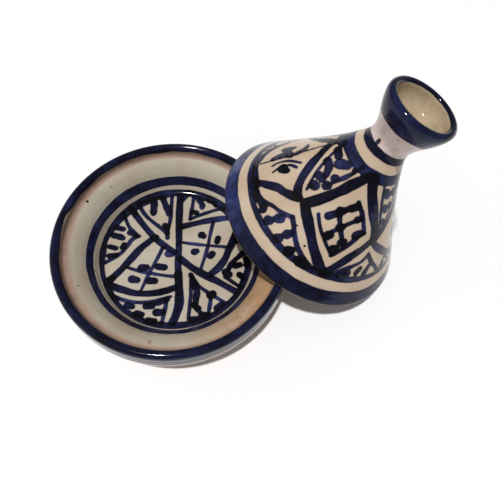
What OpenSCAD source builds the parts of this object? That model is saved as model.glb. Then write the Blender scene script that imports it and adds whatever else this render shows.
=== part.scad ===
// Small tagine: a low glazed earthenware dish, and the conical lid that covers it, lifted off and
// leaning with its brim across the lip of the dish and one edge on the table.
// Millimetres. Origin at the centre of the dish's flat foot, on the table; +Z up; the lid lies
// towards +X.

/* [Dish] */
// Outer diameter of the dish at its lip
dish_d = 150; // [120:1:240]
// Height of the dish from the table to the crest of the lip
dish_h = 36.5; // [34:0.5:60]
// Thickness of the rounded lip
lip_t = 5.8; // [3:0.1:9]
// How far the belly of the outer wall stands out past the lip
belly_out = 1.2; // [0:0.1:4]
// Depth of the belly below the crest of the lip
belly_drop = 15; // [10:0.5:18]
// How far the foot is set in from the lip, in radius
foot_in = 24; // [12:0.5:30]
// Height of the short upright foot
foot_h = 3; // [1.5:0.1:6]
// Width of the turned groove under the foot
groove_w = 7; // [3:0.5:10]
// Depth of the turned groove under the foot
groove_depth = 1.4; // [0.5:0.1:2]

/* [Inside of the dish] */
// Drop of the upright inner face of the lip, down to the ledge that the lid sits on
seat_drop = 4; // [2:0.1:7]
// Width of the ledge that the lid sits on
ledge_w = 3.4; // [1.5:0.1:6]
// Width of the sloping band between the ledge and the ring around the well
shelf_w = 8.4; // [5:0.1:14]
// Fall of the sloping band
shelf_fall = 9; // [4:0.1:11.5]
// Width of the sloping ring around the well
ring_w = 4.2; // [2:0.1:8]
// Fall of the sloping ring around the well
ring_fall = 4.4; // [2:0.1:7]
// Thickness of the floor in the middle of the well
floor_t = 9; // [6:0.5:12]

/* [Lid] */
// Clearance in radius between the brim of the lid and the inner face of the lip
lid_clearance = 2.9; // [1:0.1:5]
// Thickness of the rounded brim
brim_t = 5.6; // [4:0.1:8]
// Thickness of the wall of the cone
lid_wall = 4.6; // [3.5:0.1:7]
// Height of the cone from the brim to the foot of the neck
cone_h = 70; // [50:1:120]
// Radius of the cone at the foot of the neck
neck_r = 17.7; // [15:0.1:30]
// Height of the neck from its foot to the waist
neck_h = 12.5; // [8:0.1:20]
// Radius of the waist between the neck and the knob
waist_r = 12.6; // [9:0.1:14]

/* [Knob] */
// Height of the knob from the waist to its rounded top
knob_h = 24.8; // [16:0.1:40]
// Largest radius of the knob
knob_r = 21.1; // [17:0.1:30]
// Thickness of the knob's rounded lip
knob_lip_t = 4.8; // [3:0.1:6.5]
// Depth of the cup in the top of the knob
cup_depth = 15; // [8:0.5:18]

/* [Rest] */
// How far the leaning lid reaches out past the lip of the dish, on the table
lean_reach = 85.5; // [60:0.5:110]
// Gap left between the brim and the lip where the lid rests on the dish
rest_gap = 0.3; // [0.2:0.05:1]

/* [Hidden] */
$fn = 120;
curve_steps = 14;

dish_r = dish_d / 2;
lip_z = dish_h - lip_t / 2;
lip_in_r = dish_r - lip_t;
belly_r = dish_r + belly_out;
belly_z = dish_h - belly_drop;
foot_r = dish_r - foot_in;
ledge_z = lip_z - seat_drop;
ledge_r = lip_in_r - ledge_w;
shelf_r = ledge_r - shelf_w;
shelf_z = ledge_z - shelf_fall;
well_r = shelf_r - ring_w;
well_z = shelf_z - ring_fall;

brim_r = lip_in_r - lid_clearance;
waist_z = cone_h + neck_h;
knob_z = waist_z + knob_h - knob_lip_t / 2;

// A point of the cubic curve with ends a and d and handles b and c
function cubic(a, b, c, d, t) =
    a * pow(1 - t, 3) + 3 * b * t * pow(1 - t, 2) + 3 * c * t * t * (1 - t) + d * pow(t, 3);
// The direction of the same curve at the same point
function heading(a, b, c, d, t) =
    3 * ((b - a) * pow(1 - t, 2) + 2 * (c - b) * t * (1 - t) + (d - c) * t * t);
// The curve as a list of points, without its first one
function curve(a, b, c, d) =
    [for (i = [1:curve_steps]) cubic(a, b, c, d, i / curve_steps)];
// The same curve moved square to itself by w, to the left of its heading, from its last point back
function inner_curve(a, b, c, d, w) =
    [for (i = [curve_steps:-1:0])
        let (t = i / curve_steps, h = heading(a, b, c, d, t))
        cubic(a, b, c, d, t) + w * [-h.y, h.x] / norm(h)];
// Points of an arc about a centre, from one angle to another
function arc(centre, r, from, to) =
    [for (i = [0:curve_steps])
        let (angle = from + (to - from) * i / curve_steps)
        centre + r * [cos(angle), sin(angle)]];

// Half section of the dish: under the foot, up the belly, over the lip and down into the well
function dish_outline() = let (
        foot_top = [foot_r, foot_h],
        belly = [belly_r, belly_z],
        groove_out = foot_r - groove_w,
        shoulder = [shelf_r, shelf_z],
        well_edge = [well_r, well_z],
        well_foot = [well_r - 1.2, floor_t + 1.6],
        floor_edge = [well_r - 4.5, floor_t + 0.2]
    ) concat(
        [[0, 0], [groove_out - groove_w, 0], [groove_out - 0.8 * groove_w, groove_depth],
         [groove_out - 0.2 * groove_w, groove_depth], [groove_out, 0],
         [foot_r - 0.8, 0], [foot_r, 0.8], foot_top],
        curve(foot_top, foot_top + [0.5 * (belly_r - foot_r), 0.1 * belly_z],
            [belly_r, 0.55 * belly_z], belly),
        arc([dish_r - lip_t / 2, lip_z], lip_t / 2, 0, 180),
        curve([lip_in_r, lip_z], [lip_in_r, ledge_z + 0.8], [lip_in_r - 0.8, ledge_z],
            [ledge_r, ledge_z - 0.9]),
        curve([ledge_r, ledge_z - 0.9], [ledge_r - 0.3 * shelf_w, ledge_z - 1.9],
            shoulder + [0.25 * shelf_w, 0.4 * shelf_fall], shoulder),
        [well_edge],
        curve(well_foot, well_foot - [0.4, 1], floor_edge + [1.6, 0], floor_edge),
        [[0, floor_t]]
    );

// The flank of the lid's cone: its ends and handles
flank = [
    [brim_r, brim_t / 2],
    [brim_r - 0.21 * (brim_r - neck_r), brim_t / 2 + 0.2 * cone_h],
    [neck_r + 0.17 * (brim_r - neck_r), 0.78 * cone_h],
    [neck_r, cone_h]
];

// Half section of the lid: round the brim, up the cone, neck and knob, into the cup; then the
// hollow under the cone, from its crown down to the brim
function lid_outline() = let (
        neck_foot = [neck_r, cone_h],
        waist = [waist_r, waist_z],
        knob_side = [knob_r, knob_z],
        cup_side = [knob_r - knob_lip_t, knob_z],
        cup_foot = [0, waist_z + knob_h - cup_depth],
        wall = inner_curve(flank[0], flank[1], flank[2], flank[3], lid_wall),
        crown = [0, wall[0].y + 0.35 * wall[0].x]
    ) concat(
        arc([brim_r - brim_t / 2, brim_t / 2], brim_t / 2, -180, 0),
        curve(flank[0], flank[1], flank[2], flank[3]),
        curve(neck_foot, neck_foot + 0.3 * (flank[3] - flank[2]), waist - [0, 0.4 * neck_h], waist),
        curve(waist, waist + [0, 0.25 * knob_h], knob_side - [0.6, 0.3 * knob_h], knob_side),
        arc([knob_r - knob_lip_t / 2, knob_z], knob_lip_t / 2, 0, 180),
        curve(cup_side, cup_side - [0, 0.55 * cup_depth], cup_foot + [0.55 * cup_side.x, 0], cup_foot),
        [crown],
        curve(crown, crown + [0.55 * wall[0].x, 0], wall[0] + [-0.1, 0.1] * wall[0].x, wall[0]),
        [for (i = [1:curve_steps - 1]) wall[i]]
    );

// The lean: the ring through the middle of the brim touches the table at its far side, and passes
// over the ring through the middle of the lip. Turned by tilt, its centre is at brim_centre.
ring_r = brim_r - brim_t / 2;
function brim_centre(tilt) =
    [dish_r + lean_reach - brim_t / 2 - ring_r * cos(tilt), 0, brim_t / 2 + ring_r * sin(tilt)];
function brim_point(tilt, turn) =
    brim_centre(tilt) + ring_r * [cos(turn) * cos(tilt), sin(turn), -cos(turn) * sin(tilt)];
// Distance from a point to the ring of the lip, negative from below it
function above_lip(p) =
    (p.z < lip_z ? -1 : 1) * norm([norm([p.x, p.y]) - (dish_r - lip_t / 2), p.z - lip_z]);
// The free space between brim and lip at a tilt, where they come closest
function lean_gap(tilt) = let (
        reach = [for (turn = [45:0.5:180]) above_lip(brim_point(tilt, turn))],
        nearest = min([for (r = reach) abs(r)]),
        side = [for (r = reach) if (abs(r) == nearest) sign(r)][0]
    ) side * nearest - (brim_t + lip_t) / 2;
// The tilt that leaves rest_gap, found by halving
function lean(low, high, halvings) = let (middle = (low + high) / 2)
    halvings == 0 ? middle
    : lean_gap(middle) < rest_gap ? lean(middle, high, halvings - 1)
    : lean(low, middle, halvings - 1);
lid_tilt = lean(5, 60, 30);
lid_axis = [sin(lid_tilt), 0, cos(lid_tilt)];

module dish() {
    color("wheat") rotate_extrude() polygon(dish_outline());
}

module lid() {
    color("midnightblue")
        translate(brim_centre(lid_tilt) - lid_axis * brim_t / 2) rotate([0, lid_tilt, 0])
            rotate_extrude() polygon(lid_outline());
}

dish();
lid();
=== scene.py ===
"""A small hand-painted tagine: the looks of its dish and its lid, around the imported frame.

Sizes in the sections are in millimetres and become metres where a mesh is made.
"""

import bpy
import numpy as np
from mathutils import Matrix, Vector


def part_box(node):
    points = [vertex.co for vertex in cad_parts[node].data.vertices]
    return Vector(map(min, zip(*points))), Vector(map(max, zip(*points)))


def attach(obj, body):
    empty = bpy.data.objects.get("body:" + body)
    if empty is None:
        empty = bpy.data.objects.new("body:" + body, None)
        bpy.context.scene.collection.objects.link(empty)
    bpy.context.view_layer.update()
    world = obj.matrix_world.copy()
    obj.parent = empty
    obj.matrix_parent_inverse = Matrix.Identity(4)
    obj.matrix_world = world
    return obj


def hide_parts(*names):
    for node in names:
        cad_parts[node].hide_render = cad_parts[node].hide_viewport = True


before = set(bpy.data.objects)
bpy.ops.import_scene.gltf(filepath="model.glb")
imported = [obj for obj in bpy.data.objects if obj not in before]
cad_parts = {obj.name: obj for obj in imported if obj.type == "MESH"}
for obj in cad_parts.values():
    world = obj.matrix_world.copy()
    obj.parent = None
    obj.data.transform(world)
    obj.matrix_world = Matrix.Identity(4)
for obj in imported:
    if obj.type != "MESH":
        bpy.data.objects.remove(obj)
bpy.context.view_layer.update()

# ---------------------------------------------------------------------------------------------
# The dish: one piece of red-buff earthenware, thrown on the wheel with a rounded lip, a ledge for
# the lid and a sunk well, dipped in a cream glaze and painted by hand in cobalt blue. The foot is
# wiped clean of glaze and shows the clay.

MM = 0.001
TURNS = 512
ROWS = 188
# How far the glaze rounds a corner, how wide the fade at a stroke's edge is, and the distance that
# stands for no paint near.
GLAZE_SOFTENING = 0.3
SOFT_EDGE = 0.8
UNPAINTED = 4.0


def cubic(a, b, c, d, steps=30):
    """Points of a(1-t)^3 + 3b t(1-t)^2 + 3c t^2(1-t) + d t^3 for t from 0 to 1."""
    a, b, c, d = (np.asarray(p, float) for p in (a, b, c, d))
    t = np.linspace(0, 1, steps)[:, None]
    return a * (1 - t) ** 3 + 3 * b * t * (1 - t) ** 2 + 3 * c * t**2 * (1 - t) + d * t**3


def arc(centre, radius, start, end, steps=24):
    """Points of the centre plus radius times (cos, sin) of an angle that goes from start to end."""
    angle = np.radians(np.linspace(start, end, steps))[:, None]
    return np.asarray(centre) + radius * np.hstack([np.cos(angle), np.sin(angle)])


def length_along(line):
    """The running sum of the distances between neighbouring points."""
    return np.concatenate([[0], np.cumsum(np.linalg.norm(np.diff(line, axis=0), axis=1))])


def soften(outline, rows, weight):
    """The outline with its corners rounded, as rows points (radius, height).

    It is walked in fine steps, averaged with a bell curve of width GLAZE_SOFTENING, and cut again
    so that the integral of weight along it is the same between neighbouring points."""
    step = 0.1
    half_bell = 12
    run = length_along(outline)
    fine = np.arange(0, run[-1], step)
    fine = np.column_stack([np.interp(fine, run, outline[:, i]) for i in (0, 1)])
    fine = np.vstack([fine, outline[-1:]])
    reach = np.arange(-half_bell, half_bell + 1)
    bell = np.exp(-0.5 * (reach * step / GLAZE_SOFTENING) ** 2)
    bell /= bell.sum()
    padded = np.pad(fine, ((half_bell, half_bell), (0, 0)), mode="reflect", reflect_type="odd")
    rounded = np.column_stack([np.convolve(padded[:, i], bell, "valid") for i in (0, 1)])
    rounded[[0, -1], 0] = 0
    share = np.concatenate([[0], np.cumsum(np.diff(length_along(rounded)) * weight(rounded[1:]))])
    cuts = np.linspace(0, share[-1], rows)
    return np.column_stack([np.interp(cuts, share, rounded[:, i]) for i in (0, 1)])


def wander(turn, seed, size, finest=23):
    """A hand's drift around a circle: the sum over k of size * share / sqrt(k) * sin(k*turn + phase),
    with a share and a phase drawn for each k."""
    draw = np.random.default_rng(seed)
    waves = np.arange(1, finest)[:, None]
    phases = draw.uniform(0, 2 * np.pi, (finest - 1, 1))
    shares = draw.uniform(0.3, 1, (finest - 1, 1)) / 1.6
    sizes = size * shares / np.sqrt(waves)
    return (sizes * np.sin(waves * np.ravel(turn) + phases)).sum(0).reshape(np.shape(turn))


def thrown(profile, seed, wobble):
    """The profile swept around the axis: point (u, v) is r(u)*(cos v, sin v), z(u).

    r gains a slow wobble in v and the faint ridges that fingers leave, a sine in the length u. Both
    fade to nothing at the axis, and the foot stays flat."""
    ridge_gap = 4.6
    turn = np.linspace(0, 2 * np.pi, TURNS, endpoint=False)
    run = length_along(profile)[:, None]
    radius, height = profile[:, :1], profile[:, 1:]
    girth = np.clip(radius / 30, 0, 1)
    drift = wobble * (np.sin(2 * turn + seed) + 0.6 * np.sin(3 * turn + 2.1 * seed))
    ridges = 0.35 * wobble * np.sin(2 * np.pi * run / ridge_gap + 0.8 * np.sin(turn + seed))
    radius = radius + girth * (drift + ridges)
    height = height + 0.5 * girth * wobble * np.sin(turn + 1.7 * seed) * (height > 4)
    return np.stack([radius * np.cos(turn), radius * np.sin(turn), height + 0 * radius], -1)


def close(name, grid, marks):
    """A closed mesh of a swept grid whose first and last rows are poles, with its marks.

    Faces join neighbouring rows and turns; the poles are single points with a fan around each."""
    rows, turns = grid.shape[:2]
    inner = np.arange((rows - 2) * turns).reshape(rows - 2, turns) + 1
    after = np.roll(inner, -1, 1)
    quads = np.stack([inner[:-1], after[:-1], after[1:], inner[1:]], -1).reshape(-1, 4)
    last = inner.size + 1
    start = np.stack([np.zeros(turns, int), after[0], inner[0]], -1)
    end = np.stack([np.full(turns, last), inner[-1], after[-1]], -1)
    points = np.vstack([grid[0, :1], grid[1:-1].reshape(-1, 3), grid[-1, :1]])
    mesh = bpy.data.meshes.new(name)
    faces = start.tolist() + quads.tolist() + end.tolist()
    mesh.from_pydata((points * MM).tolist(), [], faces)
    mesh.polygons.foreach_set("use_smooth", [True] * len(faces))
    for key, value in marks.items():
        wide = value.ndim == 3
        kind = ("FLOAT_VECTOR", "vector") if wide else ("FLOAT", "value")
        flat = value.reshape(rows, turns, -1)
        flat = np.vstack([flat[0, :1], flat[1:-1].reshape(-1, flat.shape[2]), flat[-1, :1]])
        mark = mesh.attributes.new(key, kind[0], "POINT")
        mark.data.foreach_set(kind[1], flat.astype(np.float32).ravel())
    mesh.update()
    piece = bpy.data.objects.new(name, mesh)
    bpy.context.scene.collection.objects.link(piece)
    return piece


def flowing(points, steps=7):
    """The Catmull-Rom curve through the points: from b to c it is half of
    2b + (c-a)t + (2a-5b+4c-d)t^2 + (3b-a-3c+d)t^3, where a and d are the points around them."""
    p = np.asarray(points, float)
    if len(p) < 3:
        return p
    p = np.vstack([2 * p[0] - p[1], p, 2 * p[-1] - p[-2]])
    t = np.linspace(0, 1, steps, endpoint=False)[:, None, None]
    a, b, c, d = p[:-3], p[1:-2], p[2:-1], p[3:]
    q = 2 * b + (c - a) * t + (2 * a - 5 * b + 4 * c - d) * t**2
    q = 0.5 * (q + (3 * b - a - 3 * c + d) * t**3)
    return np.vstack([q.transpose(1, 0, 2).reshape(-1, p.shape[1]), p[-2:-1]])


def brush(places, paint, load, strokes, onto=flowing):
    """Lays strokes (width, colour load, points) over a surface.

    paint becomes the least distance to a stroke's edge, that is the distance to its line less half
    its width, negative inside. load gains each stroke's colour, so that crossings are darker. The
    width swells a little along a stroke and tapers at its end, and the colour thins out."""
    margin = 4.0
    for number, (width, dose, points) in enumerate(strokes):
        line = onto(points)
        along = np.linspace(0, 1, len(line))
        half = 0.5 * width * (1 + 0.08 * np.sin(11 * along + 3 * number) - 0.12 * along**6)
        near = (places > line.min(0) - margin - width) & (places < line.max(0) + margin + width)
        near = np.flatnonzero(near.all(1))
        a = line[:-1] if len(line) > 1 else line
        leg = line[1:] - a if len(line) > 1 else 0 * line
        swell = np.diff(half) if len(line) > 1 else 0 * half
        offset = places[near][:, None] - a
        t = np.clip((offset * leg).sum(2) / np.maximum((leg**2).sum(1), 1e-9), 0, 1)
        gap = np.linalg.norm(offset - t[..., None] * leg, axis=2) - half[: len(a)] - swell * t
        edge = gap.min(1)
        drawn = along[gap.argmin(1)]
        wet = 1.1 - 0.25 * drawn + 0.1 * np.sin(7 * drawn + number)
        paint[near] = np.minimum(paint[near], edge)
        load[near] += dose * wet * np.clip(0.5 - edge / SOFT_EDGE, 0, 1)


def band(position, low, high):
    """Distance to a painted band between low and high: max(low - position, position - high)."""
    return np.maximum(low - position, position - high)


def add_band(paint, load, edge, dose):
    """Joins a band to the paint by the lesser distance, and adds its colour inside it."""
    load += dose * np.clip(0.5 - edge / SOFT_EDGE, 0, 1)
    np.minimum(paint, edge, out=paint)


def rise(x, low, high):
    """The smooth step 3t^2 - 2t^3 of x between low and high."""
    t = np.clip((x - low) / (high - low), 0, 1)
    return t * t * (3 - 2 * t)


dish_high = np.array(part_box("dish")[1]) / MM
belly_r, dish_h = dish_high[0], dish_high[2]
lip_r, lip_t = 75.0, 5.8
lip_z = dish_h - lip_t / 2
foot_r, foot_h = 51.0, 3.0
belly_drop = 15.0
belly_z = dish_h - belly_drop
groove_in, groove_out, groove_depth = 37.0, 44.0, 1.4
seat_r = lip_r - lip_t
seat_drop, ledge_w = 4.0, 3.4
shelf_w, shelf_fall = 8.4, 9.0
ring_w, ring_fall = 4.2, 4.4
floor_z = 9.0
ledge = np.array([seat_r - ledge_w, lip_z - seat_drop - 0.9])
shoulder = np.array([ledge[0] - shelf_w, lip_z - seat_drop - shelf_fall])
well_edge = shoulder - [ring_w, ring_fall]
well_foot = np.array([well_edge[0] - 1.2, floor_z + 1.6])
floor_edge = np.array([well_edge[0] - 4.5, floor_z + 0.2])

dish_outline = np.vstack([
    [[0, 0], [groove_in, 0], [groove_in + 1.4, groove_depth], [groove_out - 1.4, groove_depth]],
    [[groove_out, 0], [foot_r - 0.8, 0], [foot_r, 0.8]],
    cubic([foot_r, foot_h], [foot_r + 12.6, foot_h + 2.15], [belly_r, 0.55 * belly_z],
          [belly_r, belly_z]),
    arc([lip_r - lip_t / 2, lip_z], lip_t / 2, 0, 180),
    cubic([seat_r, lip_z], [seat_r, lip_z - 0.8 * seat_drop], [seat_r - 0.8, lip_z - seat_drop],
          ledge),
    cubic(ledge, ledge - [2.5, 1.0], shoulder + [2.1, 3.6], shoulder)[1:],
    [well_edge],
    cubic(well_foot, well_foot - [0.4, 1], floor_edge + [1.6, 0], floor_edge),
    [[0, floor_z]],
])


def dish_weight(points):
    """Few rows under the foot, the rest spread evenly."""
    return np.where((points[:, 1] < foot_h + 1) & (points[:, 0] < foot_r + 1), 0.35, 1.0)


dish_profile = soften(dish_outline, ROWS, dish_weight)
dish_grid = thrown(dish_profile, 1.3, 0.12)
dish_turn = np.linspace(0, 2 * np.pi, TURNS, endpoint=False)[None] + np.zeros((ROWS, 1))
dish_run = length_along(dish_profile)[:, None] + np.zeros((1, TURNS))
dish_radius = np.linalg.norm(dish_grid[..., :2], axis=-1)
dish_height = dish_grid[..., 2]


def run_at(profile, radius, height):
    """How far along the profile its point nearest to (radius, height) lies."""
    gap = np.hypot(profile[:, 0] - radius, profile[:, 1] - height)
    return length_along(profile)[gap.argmin()]


crest = run_at(dish_profile, lip_r - lip_t / 2, dish_h)
ring_top = run_at(dish_profile, *shoulder)
ring_foot = run_at(dish_profile, *well_edge)
well_start = run_at(dish_profile, *floor_edge)
upper = dish_run > crest

dish_paint = np.full(dish_run.shape, UNPAINTED)
dish_load = np.zeros(dish_run.shape)

# The bands: over the lip and down outside it, on the ring, and around the edge of the floor.
rim = band(
    dish_run,
    crest - 13.2 + wander(dish_turn, 11, 0.9, 12),
    crest + 5.0 + wander(dish_turn, 12, 1.1, 30),
)
add_band(dish_paint, dish_load, rim, 0.78)
far_side = np.clip(np.sin(dish_turn), 0, 1) ** 2
outer_ring = band(
    dish_run,
    ring_top - 0.2 + wander(dish_turn, 13, 0.35, 14),
    ring_foot - 0.8 + 2.0 * far_side + wander(dish_turn, 14, 0.3, 14),
)
add_band(dish_paint, dish_load, outer_ring, 0.7)

# the inner band is wider in two places and narrower in a third: (angle, reach, how much)
swell = np.zeros(dish_run.shape)
for middle, reach, more in ((1.85, 0.5, 2.0), (0.62, 0.42, 1.5), (3.05, 0.7, -1.1)):
    swell += more * np.exp(-((np.angle(np.exp(1j * (dish_turn - middle))) / reach) ** 2))
inner_ring = band(
    dish_run,
    well_start - 4.3 - 0.4 * swell + wander(dish_turn, 15, 0.3, 12),
    well_start + 0.8 + swell + wander(dish_turn, 16, 0.55, 26),
)
add_band(dish_paint, dish_load, inner_ring, 0.74)

# The painter's strokes in the well: (width, colour load, points x, y from the centre). First the
# trunk and its branches, which part the floor into cells.
well_strokes = [
    (5.0, 0.7, [(11.4, 45), (9.6, 37.5), (7.6, 29.5), (5.4, 20), (3, 8.4), (1.4, 1.5), (-0.4, -5),
                (-2.3, -16.4), (-4, -26), (-6, -35), (-9.4, -41.7), (-12.6, -46.2)]),
    (6.0, 0.4, [(-2, -14), (-4, -26), (-6, -35), (-9.6, -41.7), (-12.8, -46.2)]),
    (4.7, 0.72, [(-26, 47.5), (-22.5, 38.6), (-17.5, 26.6), (-12.3, 16.4), (-6.7, 8.7), (-0.9, 2.4)]),
    (5.2, 0.8, [(-48.2, -8), (-39.1, -2.3), (-31.5, 4), (-23.7, 10.5), (-15.3, 15.4), (-11.6, 16.6)]),
    (4.8, 0.8, [(-48, -9.6), (-41, -14.9), (-32.1, -20.1), (-22.7, -22.7), (-12.9, -23.5), (-6, -22.6)]),
    (5.2, 0.74, [(1.4, -3.2), (6.8, -10.2), (12.4, -16.3), (19.3, -22.8), (25.2, -28.2), (32.8, -35.8)]),
    (5.3, 0.74, [(45.4, 9.6), (39.8, 0.6), (35.6, -4.8), (31.2, -10.8), (25.4, -16), (18.6, -19.6)]),
    (4.8, 0.55, [(7.6, 20.8), (18.2, 21.2), (27.4, 21.2), (40, 20.2), (46, 18.4)]),
    (6.2, 0.35, [(-5.4, 2.4), (-3.6, 2)]),
    # the dark tips where a loaded brush was set down
    (4.5, 0.55, [(20, 47.6), (15.6, 45), (11.4, 41)]),
    (4.3, 0.5, [(-25.8, 45.6), (-24, 42), (-22.4, 38)]),
    (5.2, 0.5, [(-48, -8.6), (-44.6, -6.6)]),
    (4.3, 0.5, [(-15.5, -24), (-7.5, -23.6)]),
    # the cell on the right, quartered by thin strokes, a dot in each quarter
    (2.7, 0.45, [(30.2, 19), (25.8, 10), (22.5, 2.4), (18.4, -5.4), (13.6, -13.8)]),
    (2.5, 0.45, [(4.6, 8.9), (14.5, 4.9), (23.7, 1.6), (35.4, -2.4)]),
    (5.5, 0.85, [(20, 11), (20.9, 9.9)]),
    (5.0, 0.8, [(29.2, 3.4), (30.6, 5.8)]),
    (5.2, 0.85, [(12.2, -0.4), (13.6, -0.2)]),
    (5.3, 0.85, [(22.2, -6.2), (23.7, -5)]),
    # the cell on the left
    (2.7, 0.45, [(-8.3, 8), (-13.8, 0.4), (-19.2, -6.6), (-23.6, -12.8), (-28, -19.4)]),
    (2.7, 0.45, [(-34.6, -0.6), (-27.6, -5), (-20.8, -8.4), (-13.4, -11.7), (-3.6, -15.6)]),
    (5.7, 0.8, [(-24.9, -3.6), (-21.6, -4)]),
    (5.2, 0.8, [(-14.2, -5.2), (-10.2, -6.9)]),
    (5.7, 0.8, [(-32.4, -10), (-29.2, -11.5)]),
    (5.2, 0.8, [(-21.6, -13.9), (-18.2, -14.9)]),
    # the triangles along the edge: a thin outline, filled with blobs
    (2.9, 0.5, [(-19, 46.5), (-15.8, 36.6), (-11.3, 29.2), (-6.8, 23.2), (-3.8, 18)]),
    (2.9, 0.5, [(5.8, 46.5), (2.4, 33), (-0.5, 24.4), (-3, 18)]),
    (5.2, 0.72, [(-7.4, 44.5), (-8.8, 39.8), (-9.9, 35.8)]),
    (4.8, 0.72, [(-0.8, 46), (0.3, 38.4), (0.9, 33)]),
    (5.0, 0.8, [(-3.6, 24.4), (-1.8, 23.4)]),
    (3.8, 0.7, [(-2.6, 22), (-3.1, 18.8), (-3.8, 14.6)]),
    (3.0, 0.7, [(-17.4, 46.4), (-8, 47.8), (1, 48)]),
    (2.9, 0.5, [(-30.2, 41), (-28.4, 30), (-25.4, 24.2), (-22.6, 20.4)]),
    (3.1, 0.5, [(-22.6, 20.4), (-27.8, 19), (-32, 14.4), (-37.3, 10.2), (-48, 5.8)]),
    (4.3, 0.55, [(-28.2, 24.6), (-23.8, 21)]),
    (4.7, 0.72, [(-36.9, 30.6), (-32.4, 28.4)]),
    (4.8, 0.72, [(-39, 24.8), (-36, 23.4), (-33.6, 21.4)]),
    (4.3, 0.72, [(-43.4, 17.2), (-39.4, 15)]),
    (4.5, 0.72, [(-34.6, 14.6), (-33.6, 16.6)]),
    (4.2, 0.72, [(-44.6, 10.4), (-40, 9.8)]),
    (3.0, 0.5, [(22.2, 46), (19.8, 38.5), (16.6, 30.4), (14.6, 25.4)]),
    (2.9, 0.5, [(14.6, 25.4), (24.2, 27.2), (33.8, 28.4), (42, 28.2)]),
    (4.5, 0.7, [(24.4, 39.6), (25.8, 35.6), (25.2, 32.6)]),
    (3.4, 0.5, [(31.8, 39), (31.2, 36.6)]),
    (4.0, 0.55, [(34.6, 34.6), (35.2, 31.8)]),
    (4.3, 0.7, [(17.8, 30.6), (20.4, 29.4)]),
    (2.8, 0.5, [(-47.7, -17.2), (-40.3, -22.9), (-33.1, -26.3), (-23.1, -28.7), (-10, -28.2)]),
    (3.0, 0.5, [(-12.6, -28.6), (-15.4, -36.2), (-19, -44.1)]),
    (4.8, 0.85, [(-38.2, -27), (-35.2, -28.8)]),
    (4.8, 0.85, [(-26.6, -30.6), (-22.9, -31.6)]),
    (5.0, 0.85, [(-33.4, -34), (-30.2, -35.6)]),
    (5.0, 0.85, [(-21.2, -36.4), (-17.6, -37.4)]),
    (4.8, 0.85, [(-27.4, -40.2), (-23.2, -41.8)]),
    (3.8, 0.7, [(-18.9, -30.5), (-12.4, -29.8)]),
    (2.8, 0.5, [(5.9, -17.8), (5, -22), (3.3, -28.7), (0.9, -37), (-2.2, -45.7)]),
    (2.7, 0.5, [(6.4, -18.4), (10, -26.2), (14, -31.3), (18.1, -35.7), (24.6, -42.1)]),
    (4.2, 0.85, [(6, -16.6), (6.6, -20)]),
    (4.8, 0.8, [(6.4, -22.6), (7.5, -28.4), (6, -33), (4.6, -37.4)]),
    (6.3, 0.85, [(15.4, -33.8), (17, -33.4)]),
    (2.9, 0.5, [(15.6, -35), (13.8, -39.6), (11.4, -45.4)]),
    (4.3, 0.85, [(5.8, -40.6), (3, -37.4)]),
    (4.8, 0.8, [(6.8, -46), (11, -46.4)]),
    (4.5, 0.8, [(17.2, -43.4), (21, -41.8)]),
    (4.2, 0.7, [(-0.4, -46.6), (3.2, -47)]),
    (2.6, 0.5, [(2.4, -38), (5.8, -43), (9.6, -46)]),
    (4.0, 0.8, [(45.6, -9), (36.8, -14), (30.2, -20)]),
    (2.9, 0.7, [(28, -23.8), (33, -29.6), (37.4, -34.4)]),
    (6.5, 0.85, [(29.8, -20.8), (31.2, -22.6)]),
    (4.8, 0.8, [(37.2, -17.6), (40.4, -17.4)]),
    (5.0, 0.8, [(38, -24.6), (40.2, -27.6)]),
    (4.3, 0.8, [(45.4, -14.6), (44.6, -19)]),
    (4.3, 0.7, [(42.6, 1), (45.2, -1.4)]),
    # the side that the lid covers, painted as the rest is
    (2.8, 0.5, [(47, 13), (43.4, 15.4), (44.6, 22)]),
]
floor_zone = np.flatnonzero((upper & (dish_height < floor_z + 2.2)).ravel())
flat_paint, flat_load = dish_paint.ravel(), dish_load.ravel()
well_paint, well_load = flat_paint[floor_zone], flat_load[floor_zone]
brush(dish_grid.reshape(-1, 3)[floor_zone, :2], well_paint, well_load, well_strokes)
flat_paint[floor_zone], flat_load[floor_zone] = well_paint, well_load


def spots(places, marks):
    """The sum of bells exp(-(d/size)^2) around the marks (centre..., size, strength)."""
    total = np.zeros(len(places))
    for *centre, size, strength in marks:
        gap_squared = ((places - np.array(centre)) ** 2).sum(1)
        total += strength * np.exp(-gap_squared / size**2)
    return total


# Small flaws in the glaze: dark specks, rusty stains (x, y, size, strength).
speck_marks = [(-49.5, 43.5, 0.9, 1.5), (-62, -13.5, 0.9, 0.9), (3, 63, 0.7, 0.7),
               (-52, -33, 0.6, 0.7), (18.6, 8.4, 0.5, 0.9), (-8.5, -10.6, 0.5, 0.8),
               (59, -26, 0.8, 0.7), (53, -33, 0.6, 0.7), (-11, 13.6, 0.5, 0.7)]
rust_marks = [(-26.5, -58.5, 2.2, 0.9), (-23, -60, 1.6, 0.6), (60, -22, 1.8, 0.6),
              (57, -30, 2.2, 0.6), (50, -41, 2.0, 0.6), (-10, 63, 3.0, 0.3), (9, 15, 1.6, 0.3)]
flat_places = dish_grid.reshape(-1, 3)[:, :2]
speck = (spots(flat_places, speck_marks) * upper.ravel()).reshape(dish_run.shape)
rust = (spots(flat_places, rust_marks) * upper.ravel()).reshape(dish_run.shape)

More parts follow.
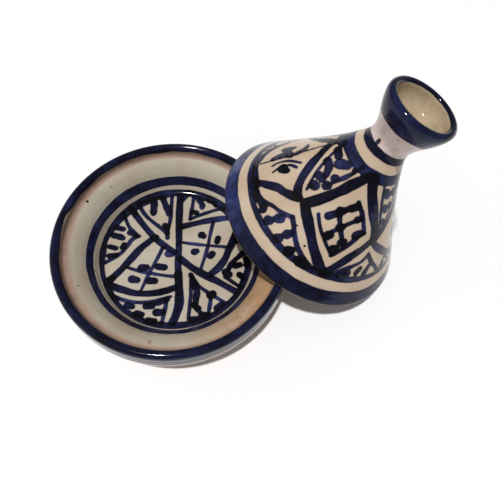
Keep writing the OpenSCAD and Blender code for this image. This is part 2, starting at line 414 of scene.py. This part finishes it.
# Where the glaze runs thin it is pink: under the lip and on the outer wall. Under the lip the darker
# pink is also painted shade, and it reaches furthest down the shelf on the side turned from the light.
blush_and_shade_end = 12.5 + 4.5 * np.exp(-(((dish_turn - 3.3) / 0.8) ** 2))
lip_blush_and_shade = rise(dish_run, crest + 3, crest + 5)
lip_blush_and_shade = lip_blush_and_shade * (1 - rise(dish_run, crest + 7.5, crest + blush_and_shade_end))
outer_wall = 1 - rise(dish_run, crest - 9, crest - 7)
# Beside the lid the shelf is painted tan: a painted shadow of the lid.
toward_lid = np.exp(-(((dish_turn - np.radians(318)) / 0.75) ** 2))
on_shelf = rise(dish_run, crest + 4, crest + 9) * (1 - rise(dish_run, ring_top, ring_top + 1))
# The steep wall of the well is painted a lighter cream: painted light on a wall that the lamp hardly
# reaches.
painted_light_well_wall = rise(dish_run, ring_foot, ring_foot + 1)
painted_light_well_wall = painted_light_well_wall * (1 - rise(dish_run, well_start - 4, well_start))
glaze_line = 2.6 + wander(dish_turn, 17, 0.5, 16)
dish_marks = {
    "paint": dish_paint,
    "load": dish_load,
    "blush": np.clip(0.95 * lip_blush_and_shade + 0.8 * outer_wall, 0, 1),
    "warm": 1.3 * toward_lid * on_shelf,
    "pale": painted_light_well_wall,
    "speck": speck,
    "rust": rust,
    "bare": np.where(upper, -UNPAINTED, glaze_line - dish_height),
    "wheel": np.stack([dish_grid[..., 0] / 9, dish_grid[..., 1] / 9, dish_run / 0.9], -1),
}
dish = close("dish_painted", dish_grid, dish_marks)


class Wire:
    """A socket of a material's nodes. Arithmetic on wires and numbers adds Math nodes."""

    def __init__(self, tree, socket=None):
        self.tree, self.socket = tree, socket

    def node(self, kind, settings=None, inputs=None, out=0):
        """Adds any node: first its settings, then the values or links of its sockets."""
        made = self.tree.nodes.new(kind)
        for key, value in (settings or {}).items():
            if key != "stops":
                setattr(made, key, value)
                continue
            stops = made.color_ramp.elements
            stops.remove(stops[1])
            stops[0].position, stops[0].color = value[0][0], (*value[0][1], 1)
            for place, colour in value[1:]:
                stops.new(place).color = (*colour, 1)
        for key, value in (inputs or {}).items():
            if isinstance(value, Wire):
                self.tree.links.new(value.socket, made.inputs[key])
            else:
                made.inputs[key].default_value = value
        return Wire(self.tree, made.outputs[out] if len(made.outputs) else None)

    def maths(self, operation, *values):
        """A Math node of that operation on the values."""
        return self.node("ShaderNodeMath", {"operation": operation}, dict(enumerate(values)))

    def __add__(self, other):
        return self.maths("ADD", self, other)

    def __sub__(self, other):
        return self.maths("SUBTRACT", self, other)

    def __rsub__(self, other):
        return self.maths("SUBTRACT", other, self)

    def __mul__(self, other):
        return self.maths("MULTIPLY", self, other)

    def __truediv__(self, other):
        return self.maths("DIVIDE", self, other)

    __radd__ = __add__
    __rmul__ = __mul__

    def between(self, low, high):
        """A smooth step from 0 at low to 1 at high; low may be the greater."""
        ends = {"Value": self, "From Min": low, "From Max": high}
        return self.node("ShaderNodeMapRange", {"interpolation_type": "SMOOTHSTEP"}, ends)

    def mark(self, name, out=2):
        """A mark kept on the mesh: out 2 is its number, 1 its vector."""
        return self.node("ShaderNodeAttribute", {"attribute_name": name}, out=out)

    def noise(self, where, scale, detail=3.0):
        """Cloudy noise around 0.5 at the places given by the vector where."""
        inputs = {"Vector": where, "Scale": scale, "Detail": detail}
        return self.node("ShaderNodeTexNoise", inputs=inputs)

    def blend(self, share, a, b):
        """Colour a where share is 0 and colour b where it is 1."""
        return self.node("ShaderNodeMix", {"data_type": "RGBA"}, {0: share, 6: a, 7: b}, 2)


def tone(red, green, blue):
    """A colour given in everyday 0-255 numbers, as light: ((c/255 + 0.055)/1.055)^2.4."""
    c = (np.array([red, green, blue]) / 255 + 0.055) / 1.055
    return tuple((c**2.4).tolist())


def painted_glaze(name, cream, blush, shade_tone, clay):
    """Cream glaze with cobalt painting in it, and bare clay where the piece is wiped.

    The third colour is its colour where it runs thin, and also painted shade under the dish's lip; the
    fourth is the colour of painted shade, a tan shadow beside the lid and shade in the knob's cup."""
    material = bpy.data.materials.new(name)
    material.use_nodes = True
    material.node_tree.nodes.clear()
    w = Wire(material.node_tree)
    here = w.node("ShaderNodeTexCoord", out=3)
    wheel = w.mark("wheel", 1)
    cloud = w.noise(here, 38)
    mottle = w.noise(here, 160, 4.0)
    grain = w.noise(here, 900, 4.0)
    streak = w.noise(wheel, 1.0, 3.0)

    # the cream: cloudy, pinker where it runs thin, with painted shade under the dish's lip, beside the
    # lid and in the knob's cup, painted light on the well's wall, and tiny pits
    deep = (cream[0] * 0.88, cream[1] * 0.83, cream[2] * 0.78)
    body = w.blend(cloud.between(0.35, 0.7), (*cream, 1), (*deep, 1))
    # the pink of thin glaze, which under the dish's lip is also painted shade
    dull = (blush[0] * 0.72, blush[1] * 0.72, blush[2] * 0.8, 1)
    blush_and_shade_colour = w.blend(mottle.between(0.45, 0.72) * 0.75, (*blush, 1), dull)
    blush_and_shade_share = (w.mark("blush") * 1.25 - mottle * 0.45).between(0.0, 0.8)
    body = w.blend(blush_and_shade_share, body, blush_and_shade_colour)
    # painted shade: tan beside the lid on the dish and in the knob's cup, with grey specks in it
    painted_shade_share = w.mark("warm") * (0.62 + (mottle - 0.5) * 0.9)
    body = w.blend(painted_shade_share.between(0.0, 1.0), body, (*shade_tone, 1))
    ash = painted_shade_share.between(0.35, 0.7) * grain.between(0.55, 0.6) * 0.75
    body = w.blend(ash, body, (*tone(128, 126, 104), 1))
    # painted light: the well's steep wall in a lighter cream
    body = w.blend(w.mark("pale") * 0.8, body, (*tone(246, 232, 214), 1))
    rusty = (w.mark("rust") - (1.0 - mottle) * 0.7).between(0.0, 0.5)
    body = w.blend(rusty * 0.7, body, (*tone(150, 100, 76), 1))
    cells = {"Vector": here, "Scale": 150.0}
    pit_gap = w.node("ShaderNodeTexVoronoi", inputs=cells)
    pit_pick = w.node("ShaderNodeTexVoronoi", inputs=cells, out=1)
    pit_pick = w.node("ShaderNodeSeparateColor", inputs={0: pit_pick})
    pits = pit_gap.between(0.11, 0.05) * pit_pick.between(0.86, 0.9)
    dots = (pits + w.mark("speck").between(0.35, 0.8)).between(0.1, 0.9)
    body = w.blend(dots, body, (*tone(40, 33, 38), 1))

    # the blue: its edge a little ragged, thin coats bright and thick ones nearly black
    ragged = w.mark("paint") + (mottle - 0.5) * 0.9 + (grain - 0.5) * 0.35
    inked = ragged.between(0.28, -0.28)
    pooled = ragged.between(-1.3, -0.2) * 0.16
    coat = w.mark("load") * 0.72 + (streak - 0.5) * 0.5 + (cloud - 0.5) * 0.7 + pooled
    coat = coat + (mottle - 0.5) * 0.6
    blues = [(0.0, tone(68, 80, 126)), (0.2, tone(40, 47, 90)), (0.42, tone(25, 28, 58)),
             (0.62, tone(14, 15, 35)), (0.85, tone(6, 6, 14))]
    blue = w.node("ShaderNodeValToRGB", {"stops": blues}, {0: coat})
    halo = ragged.between(1.3, 0.0) * 0.1
    body = w.blend(halo, body, (*tone(112, 116, 150), 1))
    glazed = w.blend(inked, body, blue)

    # the clay
    dusty = w.blend(mottle.between(0.3, 0.7), (*clay, 1), (*(c * 0.72 for c in clay), 1))
    wiped = (w.mark("bare") + (mottle - 0.5) * 1.4).between(-0.3, 0.3)
    colour = w.blend(wiped, glazed, dusty)
    shine = 0.09 + (cloud - 0.5) * 0.12 + (mottle - 0.5) * 0.1
    rough = shine.maths("MAXIMUM", shine, 0.05) * (1 - wiped) + wiped * 0.78

    # the skin: gentle waves in the glaze, sunk pits, and a gritty wiped foot
    skin = cloud * 1.0 + mottle * 0.16 + inked * 0.05 - pits * 0.5 + grain * wiped * 0.25
    bump = {"Strength": 0.5, "Distance": 0.0005, "Height": skin}
    relief = w.node("ShaderNodeBump", inputs=bump)
    shading = {"Base Color": colour, "Roughness": rough, "Normal": relief, "IOR": 1.5,
               "Specular IOR Level": 0.2}
    shader = w.node("ShaderNodeBsdfPrincipled", inputs=shading)
    w.node("ShaderNodeOutputMaterial", inputs={"Surface": shader})
    return material


CLAY = tone(190, 140, 108)
dish.data.materials.append(
    painted_glaze("dish_glaze", tone(183, 174, 158), tone(163, 136, 119), tone(173, 133, 98), CLAY)
)
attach(dish, "dish")
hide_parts("dish")

# ---------------------------------------------------------------------------------------------
# The lid: a cone of the same clay, thrown in one piece with its brim, its narrow neck and the
# flared knob, which is a small cup. It is glazed cream inside and out, and painted with bands and
# with diamonds and triangles that alternate around it.

# Where the lid lies, and how it leans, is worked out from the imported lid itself.
lid_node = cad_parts["lid"].data
lid_node.calc_loop_triangles()
lid_points = np.zeros(len(lid_node.vertices) * 3)
lid_node.vertices.foreach_get("co", lid_points)
lid_points = lid_points.reshape(-1, 3) / MM
lid_faces = np.zeros(len(lid_node.loop_triangles) * 3, int)
lid_node.loop_triangles.foreach_get("vertices", lid_faces)
corners = lid_points[lid_faces.reshape(-1, 3)]
first_edge, second_edge = corners[:, 1] - corners[:, 0], corners[:, 2] - corners[:, 0]
areas = np.linalg.norm(np.cross(first_edge, second_edge), axis=1)
middles = corners.mean(1)
lid_centre = (middles * areas[:, None]).sum(0) / areas.sum()
spread = (middles - lid_centre).T @ ((middles - lid_centre) * areas[:, None])
# of the spread's three directions, the axis is the one that the other two don't pair with
sizes, ways = np.linalg.eigh(spread)
odd_one = 0 if sizes[2] - sizes[1] < sizes[1] - sizes[0] else 2
lid_axis = ways[:, odd_one] * np.sign(ways[2, odd_one])
lid_base = lid_centre + lid_axis * ((lid_points - lid_centre) @ lid_axis).min()
lid_side = np.array([1.0, 0, 0]) - lid_axis[0] * lid_axis
lid_side /= np.linalg.norm(lid_side)
lid_turned = np.array([lid_side, np.cross(lid_axis, lid_side), lid_axis])
lid_own = (lid_points - lid_base) @ lid_turned.T

brim_r, brim_t = np.hypot(lid_own[:, 0], lid_own[:, 1]).max(), 5.6
lid_top = lid_own[:, 2].max()
cone_h, neck_r, waist_r, lid_wall = 70.0, 17.7, 12.6, 4.6
waist_z = 82.5
knob_h, knob_r, knob_lip_t, cup_depth = lid_top - waist_z, 21.1, 4.8, 15.0
knob_z = lid_top - knob_lip_t / 2

flank = np.array([
    [brim_r, brim_t / 2],
    [brim_r - 0.21 * (brim_r - neck_r), brim_t / 2 + 0.2 * cone_h],
    [neck_r + 0.17 * (brim_r - neck_r), 0.78 * cone_h],
    [neck_r, cone_h],
])
flank_line = cubic(*flank, steps=40)
lean = np.gradient(flank_line, axis=0)
lean = np.column_stack([-lean[:, 1], lean[:, 0]]) / np.linalg.norm(lean, axis=1)[:, None]
hollow = (flank_line + lid_wall * lean)[::-1]
crown = np.array([0, hollow[0, 1] + 0.35 * hollow[0, 0]])
cup_side = np.array([knob_r - knob_lip_t, knob_z])
cup_foot = np.array([0, lid_top - cup_depth])
neck_foot, waist = np.array([neck_r, cone_h]), np.array([waist_r, waist_z])
knob_side = np.array([knob_r, knob_z])
lid_outline = np.vstack([
    cubic(crown, crown + [0.55 * hollow[0, 0], 0], hollow[0] + np.array([-0.1, 0.1]) * hollow[0, 0],
          hollow[0]),
    hollow[1:-3],
    arc([brim_r - brim_t / 2, brim_t / 2], brim_t / 2, -180, 0),
    flank_line[1:],
    cubic(neck_foot, neck_foot + 0.3 * (flank[3] - flank[2]), waist - [0, 5], waist)[1:],
    cubic(waist, waist + [0, 0.25 * knob_h], knob_side - [0.6, 0.3 * knob_h], knob_side)[1:],
    arc([knob_r - knob_lip_t / 2, knob_z], knob_lip_t / 2, 0, 180)[1:],
    cubic(cup_side, cup_side - [0, 0.55 * cup_depth], cup_foot + [0.55 * cup_side[0], 0],
          cup_foot)[1:],
])
# the brim's lowest point: past the crown's 30 points and the hollow's 36, half of the arc's 24
brim_run = length_along(lid_outline)[30 + 36 + 12]


def lid_weight(points):
    """Few rows in the hollow, most on the painted cone."""
    share = np.arange(len(points)) / len(points) * length_along(points)[-1]
    return np.where(share < brim_run - 6, 0.3, np.where(points[:, 1] < 80, 1.15, 0.85))


lid_profile = soften(lid_outline, ROWS, lid_weight)
lid_local = thrown(lid_profile, 2.7, 0.12)
lid_turn = np.linspace(0, 2 * np.pi, TURNS, endpoint=False)[None] + np.zeros((ROWS, 1))
lid_run = length_along(lid_profile)[:, None] + np.zeros((1, TURNS))
lid_height = lid_profile[:, 1:] + np.zeros((1, TURNS))
under = run_at(lid_profile, brim_r - brim_t / 2, 0)
knob_edge = run_at(lid_profile, knob_r - knob_lip_t / 2, lid_top)
outside = (lid_run > under) & (lid_run < knob_edge)


def on_cone(points):
    """Strokes given as (degrees around, height) become points (x, y, height) on the flank."""
    around, height = flowing(points).T
    radius = np.interp(height, flank_line[:, 1], flank_line[:, 0])
    around = np.radians(around)
    return np.column_stack([radius * np.cos(around), radius * np.sin(around), height])


# Each motif is drawn once, at the angle where it is seen best, and repeated opposite.
window = [
    (6.2, 0.95, [(-160, 39.3), (-152.5, 48), (-146, 55), (-139, 61.5), (-128, 68)]),
    (6.6, 0.9, [(-120, 68), (-108, 61), (-98, 55), (-90, 49), (-85, 43), (-83.5, 38.5)]),
    (6.2, 0.95, [(-160, 39.3), (-144, 33.8), (-133, 28.2), (-122, 21.8), (-115.5, 18)]),
    (5.4, 0.8, [(-116, 18.5), (-110, 23.7), (-102, 29.7), (-92.5, 34.8), (-85, 38.5)]),
    (2.2, 0.66, [(-145.5, 40.8), (-137, 36.7), (-129, 33.3), (-123, 30.7), (-117.3, 28)]),
    (3.9, 0.7, [(-133, 48.3), (-127, 50.1), (-123, 52.4), (-118.5, 54.4)]),
    (2.9, 0.7, [(-120, 55.5), (-108, 50.8), (-100.5, 45.2), (-97.5, 42.6)]),
    (3.2, 0.7, [(-117.3, 28.2), (-110, 33.8), (-103, 39.6), (-97, 42.4)]),
    (3.2, 0.66, [(-132.8, 48.3), (-127.7, 45), (-122.5, 41.7), (-114, 35.7)]),
    (2.9, 0.66, [(-130.5, 35), (-122.8, 41.3), (-116.5, 45.2), (-108, 48.6)]),
    (5.2, 0.75, [(-138, 43), (-134.6, 45.4)]),
    (5.0, 0.7, [(-131, 47.6), (-129, 48.6)]),
    (5.0, 0.7, [(-122.5, 51.6), (-119, 53)]),
    (5.4, 0.75, [(-127.8, 35.6), (-126.2, 36.4)]),
    (6.0, 0.75, [(-119, 30.8), (-117.4, 31.4)]),
    (5.4, 0.7, [(-114.8, 35.2), (-113.2, 36.2)]),
    (6.0, 0.75, [(-105.5, 40.6), (-102.5, 41.6)]),
    (4.6, 0.7, [(-110.8, 48), (-107.4, 48.8)]),
    (5.2, 0.6, [(-123.4, 41.4), (-121.5, 42.2)]),
    (1.4, 0.7, [(-143, 60), (-142.2, 58)]),
]
sprig = [
    (5.8, 0.7, [(-217, 60), (-202, 54.5), (-194, 50.3), (-187, 46.5), (-181, 43), (-175, 40.2),
                (-168, 38)]),
    (5.2, 0.7, [(-167, 38.4), (-173, 35.8), (-179, 33.2), (-184.5, 31), (-191, 25.8), (-196, 21)]),
    (4.6, 0.7, [(-193, 21.5), (-205, 19.8), (-214, 19.5)]),
    (5.0, 0.7, [(-214, 19.5), (-222, 21), (-231, 24), (-241, 29), (-256, 37)]),
    (5.0, 0.7, [(-217, 62), (-225, 58.5), (-233, 53), (-243.5, 45), (-256, 38)]),
    (6.0, 0.6, [(-236, 64.5), (-222, 64.5), (-207, 66)]),
    (1.5, 0.6, [(-212.5, 22), (-212.8, 30), (-213.2, 39), (-215, 47.3), (-216, 54), (-215.5, 61)]),
    (2.4, 0.7, [(-213, 39.5), (-215, 43), (-219.5, 45.8), (-227, 46)]),
    (4.6, 0.6, [(-215, 42), (-218.6, 45.2), (-222, 46)]),
    (5.6, 0.7, [(-226, 33), (-225.5, 38)]),
    (5.8, 0.6, [(-221, 35), (-217, 37.4)]),
    (5.2, 0.66, [(-214.4, 29), (-216.8, 32.5), (-216, 36.5), (-213.4, 39)]),
    (2.0, 0.65, [(-206.5, 29.5), (-208.2, 32.7), (-207.5, 37.2), (-204, 41.3), (-199.5, 44.8)]),
    (2.0, 0.65, [(-199.5, 30), (-201.8, 33), (-202.5, 36), (-200.8, 39.5), (-195.5, 42.5)]),
    (6.4, 0.66, [(-200.6, 35), (-198, 36.2)]),
    (4.2, 0.66, [(-197, 36), (-195.6, 37.6)]),
]
foot_triangle = [
    (4.0, 0.45, [(-199, 20.2), (-188, 20.6), (-178, 20.8)]),
    (2.8, 0.55, [(-192, 19.5), (-180, 22.6), (-173, 25.8), (-167, 27.6), (-158, 30.8)]),
    (3.2, 0.62, [(-157.5, 31), (-152.8, 29.2), (-147, 26.2), (-143, 24.2), (-137.5, 22),
                 (-131, 20.2), (-123.8, 18.3)]),
    (6.2, 0.6, [(-175.3, 21.4), (-174.6, 21)]),
    (6.0, 0.5, [(-166.2, 20.6), (-165, 21.4)]),
    (6.2, 0.5, [(-163.2, 25.2), (-162.2, 26.2)]),
    (3.6, 0.2, [(-166, 21), (-163, 25.5)]),
    (5.8, 0.5, [(-153.6, 19.2), (-152.6, 20)]),
    (6.0, 0.5, [(-151, 24), (-150, 25.2)]),
    (3.6, 0.2, [(-153.5, 20), (-150.5, 24.5)]),
    (6.8, 0.85, [(-142.6, 19), (-141.8, 19.8)]),
    (7.0, 0.85, [(-133.5, 18.2), (-130, 18.4)]),
    (3.0, 0.5, [(-187, 19), (-181, 20)]),
]
small_triangle = [
    (3.0, 0.66, [(-113, 19), (-109.5, 19.8), (-104, 22.5), (-97, 25), (-89.5, 27.7), (-84.8, 31)]),
    (3.3, 0.66, [(-84.8, 31), (-80, 26.5), (-76, 23.8), (-73, 21.8), (-70, 18.7)]),
    (5.0, 0.8, [(-100.5, 20.8), (-99, 21.2)]),
    (5.0, 0.8, [(-91.8, 21.4), (-89.6, 23.4)]),
    (4.6, 0.8, [(-84.4, 20.4), (-81.4, 23.6)]),
    (3.4, 0.6, [(-106, 19.4), (-104.6, 20)]),
    (2.4, 0.6, [(-70, 18.7), (-65, 21), (-61, 24), (-55, 20)]),
    (3.4, 0.6, [(-63.4, 19.6), (-62, 20.4)]),
]
top_triangle = [
    (2.0, 0.5, [(-202, 67), (-198, 62.3), (-191, 57.8), (-185, 54), (-180.5, 50.8), (-175, 47.2),
                (-169.8, 43.6)]),
    (5.8, 0.6, [(-199, 63.4), (-187, 63.2)]),
    (5.0, 0.6, [(-187.8, 57.3), (-180, 57.4), (-172, 54.7)]),
    (5.6, 0.6, [(-176, 51.4), (-170.6, 52.2)]),
    (6.2, 0.42, [(-175, 62), (-166, 64.6)]),
    (4.8, 0.5, [(-162.8, 56.6), (-161.8, 57)]),
    (5.6, 0.5, [(-161, 52), (-159.4, 52.4)]),
    (6.0, 0.5, [(-170, 47.2), (-168, 47.6)]),
    (3.2, 0.5, [(-171.5, 45.6), (-169, 46)]),
    (2.6, 0.42, [(-148, 69), (-151.8, 63.5), (-155.5, 59.3), (-158.5, 55.8), (-162, 51.5)]),
    (2.8, 0.8, [(-153, 65.6), (-150.4, 64.6)]),
]
side_triangle = [
    (2.4, 0.5, [(-94, 67), (-88.5, 60), (-84, 53.5), (-80.5, 47), (-79, 41)]),
    (2.4, 0.5, [(-79, 41), (-71, 48), (-62, 58), (-56, 67)]),
    (5.2, 0.55, [(-86, 63), (-79, 61.4)]),
    (4.8, 0.5, [(-70, 63), (-65, 61.4)]),
    (4.8, 0.5, [(-79.6, 55), (-75, 53.6)]),
    (4.2, 0.5, [(-70.6, 56), (-67, 54.6)]),
    (4.0, 0.5, [(-77, 47.8), (-74, 46.6)]),
]


def carried(strokes, middle, to, stretch, sway):
    """The strokes carried around the cone from one angle to another, stretched sideways about
    their middle, and each a little off, as a second painting is."""
    drift = np.random.default_rng(to + 400).normal(0, sway, (len(strokes), 2))
    return [
        (width, dose, ((np.array(points) - [middle, 0]) * [stretch, 1] + [to, 0] + off).tolist())
        for (width, dose, points), off in zip(strokes, drift)
    ]


cone_strokes = (
    window + sprig + foot_triangle + small_triangle + top_triangle + side_triangle
    + carried(window, -121, 60, 1.04, 0.35) + carried(sprig, -213, -33, 1.17, 0.35)
    + carried(foot_triangle, -160, 20, 1.0, 0.3) + carried(small_triangle, -85, 101, 1.0, 0.3)
    + carried(top_triangle, -167, 20, 1.05, 0.3) + carried(side_triangle, -77, 102, 1.0, 0.3)
)
lid_paint = np.full(lid_run.shape, UNPAINTED)
lid_load = np.zeros(lid_run.shape)
cone_zone = np.flatnonzero((outside & (lid_height > 11) & (lid_height < 74)).ravel())
cone_paint, cone_load = lid_paint.ravel()[cone_zone], lid_load.ravel()[cone_zone]
brush(lid_local.reshape(-1, 3)[cone_zone], cone_paint, cone_load, cone_strokes, on_cone)
lid_paint.ravel()[cone_zone], lid_load.ravel()[cone_zone] = cone_paint, cone_load

# The bands: the brim, a line above it, the foot of the neck and the neck's collar. Those go by
# height, so the inside of the cone is kept clear of them.
kept_clear = np.where(outside, 0.0, 9.0)
brim_dose = 0.62 - 0.3 * np.cos(lid_turn + np.radians(205)) ** 6 + 0.2 * np.cos(lid_turn + 2.0) ** 6
for low, high, dose, seed in (
    (-2.0, 10.6, brim_dose, 31), (15.7, 19.2, 0.62, 33), (66.2, 72.0, 0.5, 35), (76.5, 81, 0.7, 37)
):
    edges = band(
        lid_height, low + wander(lid_turn, seed, 0.3, 14), high + wander(lid_turn, seed + 1, 0.3, 14)
    )
    add_band(lid_paint, lid_load, edges + kept_clear, dose)

# The knob is blue from its flank over its lip, with a darker line inside the lip.
knob_low = run_at(lid_profile, 19.6, 95.0)
knob_band = band(
    lid_run,
    knob_low + wander(lid_turn, 41, 0.5, 10),
    knob_edge + 2.8 + wander(lid_turn, 42, 0.3, 10),
)
add_band(lid_paint, lid_load, knob_band, 0.66)
add_band(lid_paint, lid_load, band(lid_run, knob_edge + 1.4, knob_edge + 3.1), 0.5)
brim_lap = band(lid_run, under - 1.6 + wander(lid_turn, 43, 0.7, 12), under + 5)
add_band(lid_paint, lid_load, brim_lap, 0.2)

# a thin line along the edge of the brim is kept free of paint, so the cream shows there
brim_edge_gap = 0.42 - np.abs(lid_run - under - 2.9 - wander(lid_turn, 45, 0.25, 14))
lid_paint = np.maximum(lid_paint, brim_edge_gap)
neck_zone = rise(lid_height, 75.5, 79.5) * outside
hollow_zone = 1 - rise(lid_run, under - 3, under - 1)

# Two flecks on the cone, and a drop of colour that ran down the neck: (place, size, strength).
lid_flecks = [(*point, 0.8, 1.6) for point in on_cone([(-151, 30), (-137, 25.5)])]
drop_at = 13.6 * np.exp(1j * np.radians(-166))
drops = [(drop_at.real, drop_at.imag, height, 1.1, 3.0) for height in (81.0, 82.2, 83.4)]
lid_speck = spots(lid_local.reshape(-1, 3), lid_flecks + drops).reshape(lid_run.shape)
plain = np.zeros(lid_run.shape)
bare_line = 0.9 + wander(lid_turn, 44, 0.3, 14)
# The knob's cup gets painted shade; the neck and the inside of the lid are pink where the glaze runs
# thin.
lid_marks = {
    "paint": lid_paint,
    "load": lid_load,
    "blush": np.clip(0.72 * neck_zone + 0.5 * hollow_zone, 0, 1),
    "warm": 0.85 * rise(lid_run, knob_edge, knob_edge + 4),
    "pale": plain,
    "speck": lid_speck,
    "rust": plain,
    "bare": bare_line - np.abs(lid_run - under + 1.0),
    "wheel": np.stack([lid_local[..., 0] / 9, lid_local[..., 1] / 9, lid_run / 0.9], -1),
}
lid_grid = lid_local @ lid_turned + lid_base
lid = close("lid_painted", lid_grid, lid_marks)
# The lid's cream is set lighter and yellower than the dish's: painted light, as both pieces carry one
# glaze.
lid.data.materials.append(
    painted_glaze("lid_glaze", tone(198, 179, 157), tone(218, 198, 192), tone(165, 147, 113), CLAY)
)
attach(lid, "lid")
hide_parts("lid")

# ---------------------------------------------------------------------------------------------
# The table, the light and the camera: a plain pale table top, a lamp almost overhead that gives the
# glaze its sparks and the pieces their short shadows, and a weak wide fill on the left. The camera
# looks steeply down at the pair, turned and tipped a little. This section is in metres.

half_table = 14.0
table_corners = [
    (-half_table, -half_table, 0), (half_table, -half_table, 0),
    (half_table, half_table, 0), (-half_table, half_table, 0),
]
table = bpy.data.meshes.new("table")
table.from_pydata(table_corners, [], [(0, 1, 2, 3)])
table_piece = bpy.data.objects.new("table", table)
bpy.context.scene.collection.objects.link(table_piece)
table_top = bpy.data.materials.new("pale_table")
table_top.use_nodes = True
table_shader = table_top.node_tree.nodes["Principled BSDF"]
table_shader.inputs["Base Color"].default_value = (0.9, 0.9, 0.9, 1)
table_shader.inputs["Roughness"].default_value = 0.9
table.materials.append(table_top)


def aimed(name, kind, away, place=(0, 0, 1)):
    """A light of a kind at a place, shining from the side that away points to."""
    light = bpy.data.lights.new(name, kind)
    away = np.array(away) / np.linalg.norm(away)
    across = np.cross([0.0, 1.0, 0.0], away)
    across = across / np.linalg.norm(across)
    turn = np.eye(4)
    turn[:3, :3] = np.column_stack([across, np.cross(away, across), away])
    turn[:3, 3] = place
    holder = bpy.data.objects.new(name, light)
    holder.matrix_world = Matrix(turn)
    bpy.context.scene.collection.objects.link(holder)
    return light


lamp = aimed("lamp", "SUN", (-0.2, -0.03, 1.22))
lamp.energy, lamp.angle = 2.75, np.radians(3.2)
fill = aimed("fill", "AREA", (-1.93, 0.3, 1.27), (-1.9, 0.3, 1.3))
fill.energy, fill.size = 7.0, 3.0
world = bpy.data.worlds.new("room")
world.use_nodes = True
world.node_tree.nodes["Background"].inputs[0].default_value = (1.0, 0.98, 0.96, 1)
world.node_tree.nodes["Background"].inputs[1].default_value = 0.22
bpy.context.scene.world = world
bpy.context.scene.view_settings.view_transform = "Standard"

camera = bpy.data.objects.new("camera", bpy.data.cameras.new("camera"))
camera.data.sensor_width = 36.0
camera.data.lens = 28.756
camera.data.clip_start, camera.data.clip_end = 0.01, 40.0

# It stands at this angle around the pair and this far up from level, and is tipped by the roll.
around, upward, roll = np.radians([-115.95, 65.62, 11.13])
back = np.array([
    np.cos(upward) * np.cos(around), np.cos(upward) * np.sin(around), np.sin(upward)
])
level = np.array([-np.sin(around), np.cos(around), 0.0])
upright = np.cross(back, level)
aim = np.eye(4)
aim[:3, 0] = np.cos(roll) * level + np.sin(roll) * upright
aim[:3, 1] = np.cos(roll) * upright - np.sin(roll) * level
aim[:3, 2] = back
aim[:3, 3] = (-0.00079, -0.11305, 0.26607)
bpy.context.scene.collection.objects.link(camera)
camera.matrix_world = Matrix(aim)
bpy.context.scene.camera = camera
